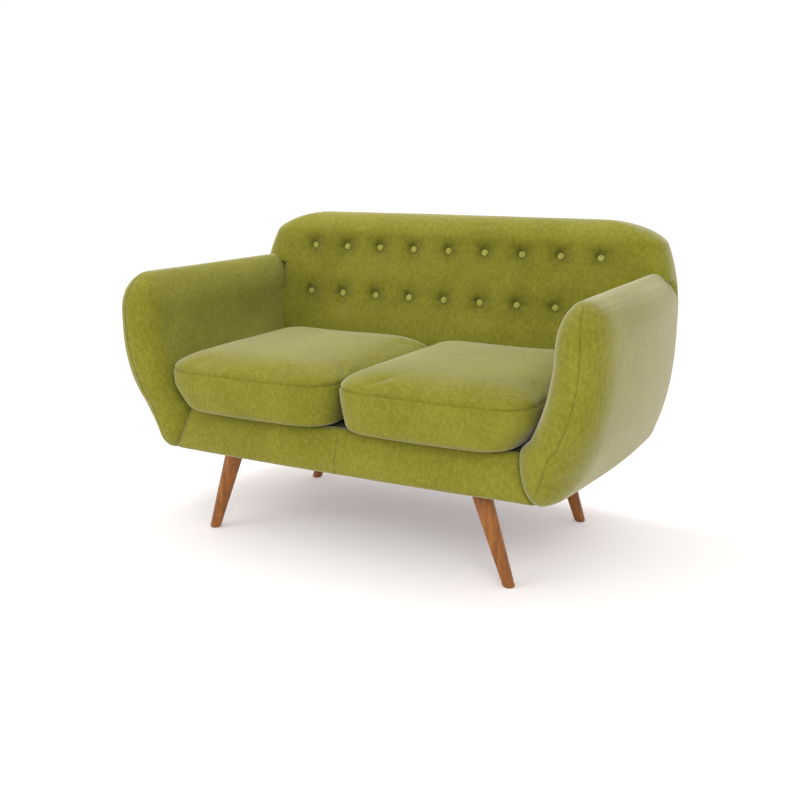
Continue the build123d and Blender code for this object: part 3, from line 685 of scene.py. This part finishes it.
# ---- outer back and dust cover -------------------------------------------------------------------
def make_outer_back():
    """The flat cover of the rear, which reaches a little behind the arms' inner edges."""
    (_, _, z0), (_, _, z1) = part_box("outer_back_panel")
    rings = []
    for z in spaced(z0, z1, 60):
        half = max(RAIL_X, rail_seam_x(z)) + 0.012
        ring = []
        for j in range(61):
            u = j / 60
            edge = min(u, 1 - u) * 2 * half
            lift = 0.004 * smooth(min(edge, (z1 - z), (z - z0)), 0.0, 0.03)
            ring.append((mix(-half, half, u), rear_y(z) - 0.004 + lift, z))
        ring += [(half, rear_y(z) - 0.013, z), (-half, rear_y(z) - 0.013, z)]
        rings.append(ring)
    return ring_mesh("outer_back", [list(reversed(ring)) for ring in rings])


def make_deck():
    """The flat pad under the cushions, tucked in between the arms."""
    (_, y0, z0), (_, y1, z1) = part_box("seat_deck_pad")
    profile = [(0.040, z0), (0.006, z0), (0.0, z0 + 0.004), (0.0, z1 - 0.012), (0.003, z1 - 0.006)]
    profile += [(0.010, z1 - 0.003), (0.025, z1 - 0.0016), (0.060, z1 - 0.0012)]
    profile += [(0.140, z1 - 0.001), (0.220, z1 - 0.001)]
    front_x, rear_x = rail_seam_x(DECK) - 0.004, RAIL_X - 0.004
    rings = []
    for inset, z in profile:
        front, rear = y0 + 0.001 + inset, y1 - 0.001 - inset
        corners = [(-front_x + inset, front), (front_x - inset, front)]
        corners += [(rear_x - inset, rear), (-rear_x + inset, rear)]
        ring = []
        for start, end in zip(corners, corners[1:] + corners[:1]):
            ring += [(x, y, z) for x, y in line(start, end, 40)]
        rings.append(ring)
    deck = ring_mesh("seat_deck", rings)
    displace(deck, lambda p: 0.0008 * noise.noise(Vector((p.x * 9, p.y * 9, p.z * 9))))
    return deck


def make_dust_cover():
    (x0, y0, z0), (x1, y1, z1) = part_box("dust_cover")
    columns, rows = 60, 40
    verts = []
    for j in range(rows + 1):
        for i in range(columns + 1):
            u, v = i / columns, j / rows
            sag = 0.003 * math.sin(math.pi * u) * math.sin(math.pi * v)
            verts.append((mix(x0, x1, u), mix(y0, y1, v), z1 - sag))
    faces = []
    for j in range(rows):
        for i in range(columns):
            a = j * (columns + 1) + i
            faces.append((a, a + columns + 1, a + columns + 2, a + 1))
    mesh = bpy.data.meshes.new("dust_cloth")
    mesh.from_pydata(verts, [], faces)
    mesh.update()
    cloth = add_object("dust_cloth", mesh)
    shade_smooth(cloth)
    return cloth, (x1 - x0, y1 - y0)


# ---- materials -----------------------------------------------------------------------------------
class Nodes:
    """A short way to build a material's node tree."""

    def __init__(self, name):
        self.material = bpy.data.materials.new(name)
        self.material.use_nodes = True
        self.tree = self.material.node_tree
        self.shader = self.tree.nodes["Principled BSDF"]

    def add(self, kind, **inputs):
        node = self.tree.nodes.new(kind)
        for key, value in inputs.items():
            self.set(node, key, value)
        return node

    def set(self, node, key, value):
        socket = node.inputs[key.replace("_", " ")]
        if isinstance(value, bpy.types.NodeSocket):
            self.tree.links.new(value, socket)
        else:
            socket.default_value = value

    def coordinates(self, scale=(1, 1, 1), rotation=(0, 0, 0)):
        source = self.add("ShaderNodeTexCoord")
        place = source.outputs["Object"]
        mapping = self.add("ShaderNodeMapping", Vector=place, Scale=scale, Rotation=rotation)
        return mapping.outputs["Vector"]

    def noise(self, vector, scale, detail=3.0, roughness=0.5, distortion=0.0):
        node = self.add(
            "ShaderNodeTexNoise",
            Vector=vector,
            Scale=scale,
            Detail=detail,
            Roughness=roughness,
            Distortion=distortion,
        )
        return node.outputs["Fac"]

    def ramp(self, factor, stops):
        node = self.add("ShaderNodeValToRGB", Fac=factor)
        elements = node.color_ramp.elements
        while len(elements) < len(stops):
            elements.new(0.5)
        for element, (place, colour) in zip(elements, stops):
            element.position = place
            element.color = (*colour, 1.0)
        return node.outputs["Color"]

    def math(self, operation, a, b):
        node = self.tree.nodes.new("ShaderNodeMath")
        node.operation = operation
        for socket, value in zip(node.inputs, (a, b)):
            if isinstance(value, bpy.types.NodeSocket):
                self.tree.links.new(value, socket)
            else:
                socket.default_value = value
        return node.outputs["Value"]

    def bump(self, height, strength, distance, normal=None):
        node = self.add("ShaderNodeBump", Height=height, Strength=strength, Distance=distance)
        if normal is not None:
            self.set(node, "Normal", normal)
        return node.outputs["Normal"]

    def surface(self, **inputs):
        for key, value in inputs.items():
            self.set(self.shader, key, value)
        return self.material


def velvet(name, dark, light, sheen=0.46):
    """Cut-pile velvet: mottled where the pile lies different ways, with a soft sheen at grazing angles."""
    n = Nodes(name)
    place = n.coordinates()
    cloud = n.noise(place, 7.0, 2.0, 0.5, 0.3)
    patch = n.noise(n.coordinates(scale=(1.0, 1.0, 0.7)), 110.0, 4.0, 0.7, 0.2)
    pile = n.noise(place, 1100.0, 2.0, 0.7)
    tone = n.math("ADD", n.math("MULTIPLY", cloud, 0.25), n.math("MULTIPLY", patch, 0.55))
    tone = n.math("ADD", tone, n.math("MULTIPLY", pile, 0.20))
    colour = n.ramp(tone, ((0.41, dark), (0.59, light)))
    # Painted shade: the colour is multiplied towards a dark olive by the per-vertex shade shares, in seams,
    # dimples and at the rail's ends.
    painted_shade = n.add("ShaderNodeAttribute")
    painted_shade.attribute_name = "painted_shade"
    shaded = n.add("ShaderNodeMix")
    shaded.data_type, shaded.blend_type = "RGBA", "MULTIPLY"
    n.tree.links.new(n.math("MULTIPLY", painted_shade.outputs["Fac"], 0.75), shaded.inputs[0])
    n.tree.links.new(colour, shaded.inputs[6])
    shaded.inputs[7].default_value = (0.12, 0.11, 0.08, 1.0)
    soft = n.bump(patch, 0.10, 0.0015)
    fine = n.bump(pile, 0.25, 0.0004, soft)
    return n.surface(
        Base_Color=shaded.outputs[2],
        Roughness=0.9,
        Specular_IOR_Level=0.08,
        Sheen_Weight=sheen,
        Sheen_Roughness=0.40,
        Sheen_Tint=(1.0, 0.92, 0.88, 1.0),
        Normal=fine,
    )


def walnut(name, side):
    """Oiled brown wood with its grain along the splayed leg."""
    n = Nodes(name)
    splay = math.radians(18.9) * side
    grain_place = n.coordinates(scale=(1.0, 1.0, 0.07), rotation=(0, splay, 0))
    broad = n.noise(grain_place, 60.0, 4.0, 0.6, 0.8)
    pores = n.noise(grain_place, 420.0, 3.0, 0.7)
    tone = n.math("ADD", n.math("MULTIPLY", broad, 0.75), n.math("MULTIPLY", pores, 0.25))
    stops = ((0.32, (0.110, 0.034, 0.004)), (0.52, (0.250, 0.084, 0.011)), (0.70, (0.36, 0.138, 0.024)))
    colour = n.ramp(tone, stops)
    roughness = n.math("ADD", n.math("MULTIPLY", pores, 0.25), 0.33)
    return n.surface(
        Base_Color=colour,
        Roughness=roughness,
        Specular_IOR_Level=0.3,
        Coat_Weight=0.08,
        Coat_Roughness=0.3,
        Normal=n.bump(pores, 0.12, 0.0006),
    )


def plain_wood(name, dark, light):
    n = Nodes(name)
    place = n.coordinates(scale=(1.0, 0.12, 1.0))
    tone = n.noise(place, 90.0, 4.0, 0.6, 0.5)
    colour = n.ramp(tone, ((0.3, dark), (0.7, light)))
    return n.surface(Base_Color=colour, Roughness=0.7, Normal=n.bump(tone, 0.1, 0.001))


def metal(name, colour, roughness):
    n = Nodes(name)
    tone = n.noise(n.coordinates(), 700.0, 2.0)
    rough = n.math("ADD", n.math("MULTIPLY", tone, 0.2), roughness)
    normal = n.bump(tone, 0.05, 0.0003)
    return n.surface(Base_Color=(*colour, 1.0), Metallic=1.0, Roughness=rough, Normal=normal)


def moulded(name, colour):
    """Plastic with a faint grain."""
    n = Nodes(name)
    grain = n.noise(n.coordinates(), 900.0, 2.0)
    rough = n.math("ADD", n.math("MULTIPLY", grain, 0.2), 0.5)
    return n.surface(Base_Color=(*colour, 1.0), Roughness=rough, Normal=n.bump(grain, 0.1, 0.0003))


def woven(name, dark, light, pitch):
    """A plain weave of threads pitch metres apart."""
    n = Nodes(name)
    place = n.coordinates()
    waves = []
    for axis in ("X", "Y", "Z"):
        wave = n.add("ShaderNodeTexWave", Vector=place, Scale=1.0 / pitch / 3.2, Distortion=0.4)
        wave.bands_direction = axis
        waves.append(wave.outputs["Fac"])
    height = n.math("ADD", n.math("ADD", waves[0], waves[1]), waves[2])
    tone = n.math("MULTIPLY", height, 0.33)
    colour = n.ramp(tone, ((0.3, dark), (0.7, light)))
    return n.surface(Base_Color=colour, Roughness=0.9, Normal=n.bump(height, 0.3, 0.0006))


def paint(objects, material):
    for obj in objects:
        obj.data.materials.clear()
        obj.data.materials.append(material)


# ---- build ---------------------------------------------------------------------------------------
OLIVE_DARK, OLIVE_LIGHT = (0.152, 0.146, 0.012), (0.214, 0.205, 0.024)
velvet_cloth = velvet("velvet", OLIVE_DARK, OLIVE_LIGHT)
# A slightly darker copy of the velvet for the cushions: painted shade, where the cushions fall darker in
# the light.
shaded_cushion_velvet = velvet("cushion_velvet", OLIVE_DARK, (0.208, 0.199, 0.024), sheen=0.36)
button_cloth = velvet("button_velvet", (0.25, 0.235, 0.035), (0.36, 0.34, 0.08))

arm_right = make_arm()
arm_left = mirror_copy(arm_right, "arm_left")
back = make_back()
rail_cover = make_rail_cover()
cushion_right = make_cushion("cushion_right")
cushion_left = mirror_copy(cushion_right, "cushion_left")
outer_back = make_outer_back()
deck = make_deck()
dust_cloth, dust_size = make_dust_cover()

velvet_pieces = {
    "sofa": [
        (arm_right, ["arm_upholstery_right"], 1.0),
        (arm_left, ["arm_upholstery_left"], 1.0),
        (back, ["back_upholstery"], 0.9),
        (rail_cover, ["front_rail_upholstery"], 0.9),
        (outer_back, ["outer_back_panel"], 0.8),
    ],
    "right_cushion": [(cushion_right, ["seat_cushion_cover_right", "seat_cushion_foam_right"], 0.9)],
    "left_cushion": [(cushion_left, ["seat_cushion_cover_left", "seat_cushion_foam_left"], 0.9)],
}
for body, rows in velvet_pieces.items():
    for piece, nodes, fill in rows:
        paint([piece], velvet_cloth if body == "sofa" else shaded_cushion_velvet)
        subdivide(piece)
        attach(piece, body)
        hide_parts(*nodes)

deck_weave = woven("deck_cloth", (0.05, 0.05, 0.015), (0.11, 0.105, 0.03), 0.001)
paint([deck], deck_weave)
subdivide(deck)
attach(deck, "sofa")
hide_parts("seat_deck_pad")

nonwoven = woven("dust_cloth", (0.012, 0.012, 0.012), (0.03, 0.03, 0.03), 0.001)
paint([dust_cloth], nonwoven)
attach(dust_cloth, "sofa")
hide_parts("dust_cover")

beech = plain_wood("beech", (0.40, 0.27, 0.15), (0.60, 0.44, 0.27))
plywood = plain_wood("plywood", (0.45, 0.33, 0.19), (0.66, 0.51, 0.33))
finishes = {
    "walnut": walnut("walnut_right", 1),
    "beech": beech,
    "plywood": plywood,
    "steel": metal("steel", (0.60, 0.60, 0.60), 0.3),
    "spring_steel": metal("spring_steel", (0.25, 0.25, 0.26), 0.4),
    "glide_plastic": moulded("glide_plastic", (0.03, 0.025, 0.02)),
    "hessian": woven("hessian", (0.25, 0.18, 0.09), (0.48, 0.38, 0.23), 0.002),
    "deck_cloth": deck_weave,
    "webbing": woven("webbing", (0.35, 0.28, 0.17), (0.55, 0.47, 0.32), 0.0016),
    "foam": woven("foam", (0.70, 0.64, 0.45), (0.80, 0.75, 0.58), 0.003),
    "twine": woven("twine", (0.55, 0.48, 0.36), (0.72, 0.66, 0.53), 0.0006),
    "piping": button_cloth,
}
walnut_left = walnut("walnut_left", -1)
slots = {row["node"]: row["material_slot"] for row in frame["record"]["subparts"]}
for node, obj in frame["nodes"].items():
    finish = finishes.get(slots[node])
    if finish is not None:
        paint([obj], walnut_left if node.startswith("leg_") and node.endswith("_left") else finish)

# ---- floor, light and camera ---------------------------------------------------------------------
# The floor glows faintly with a pinkish light: painted light that lifts the shadow under the sofa and tints
# it purplish.
floor_material = Nodes("floor").surface(
    Base_Color=(0.86, 0.85, 0.85, 1.0),
    Roughness=0.9,
    Specular_IOR_Level=0.0,
    Emission_Color=(1.0, 0.85, 0.85, 1.0),
    Emission_Strength=0.20,
)
floor_mesh = bpy.data.meshes.new("floor")
reach = 30.0
corners = [(-reach, -reach, 0), (reach, -reach, 0), (reach, reach, 0), (-reach, reach, 0)]
floor_mesh.from_pydata(corners, [], [(0, 1, 2, 3)])
floor = add_object("floor", floor_mesh)
paint([floor], floor_material)


def area_light(name, place, target, size, power):
    light = bpy.data.lights.new(name, "AREA")
    light.shape = "RECTANGLE"
    light.size, light.size_y = size
    light.energy = power
    obj = bpy.data.objects.new(name, light)
    obj.location = place
    obj.rotation_euler = (Vector(target) - Vector(place)).to_track_quat("-Z", "Y").to_euler()
    bpy.context.scene.collection.objects.link(obj)


world = bpy.data.worlds.new("studio")
world.use_nodes = True
world.node_tree.nodes["Background"].inputs["Color"].default_value = (1.0, 1.0, 1.0, 1.0)
world.node_tree.nodes["Background"].inputs["Strength"].default_value = 1.02
bpy.context.scene.world = world
area_light("overhead", (-0.6, 0.7, 2.7), (0.0, 0.0, 0.3), (0.9, 0.7), 33.0)
area_light("front_left", (-2.0, -3.2, 1.8), (0.0, 0.0, 0.4), (2.2, 1.8), 34.0)
area_light("front_right", (1.8, -2.6, 2.0), (-0.5, 0.0, 0.5), (1.6, 1.4), 31.0)

CAMERA_PLACE, CAMERA_DOWN, CAMERA_TURN, CAMERA_LENS = (1.3074, -2.4578, 1.0063), 13.3023, 28.2512, 46.994
camera_data = bpy.data.cameras.new("camera")
camera_data.sensor_width = 36.0
camera_data.lens = CAMERA_LENS
camera = bpy.data.objects.new("camera", camera_data)
camera.location = CAMERA_PLACE
camera.rotation_euler = (math.radians(90 - CAMERA_DOWN), 0.0, math.radians(CAMERA_TURN))
bpy.context.scene.collection.objects.link(camera)
bpy.context.scene.camera = camera
bpy.context.scene.view_settings.view_transform = "Standard"
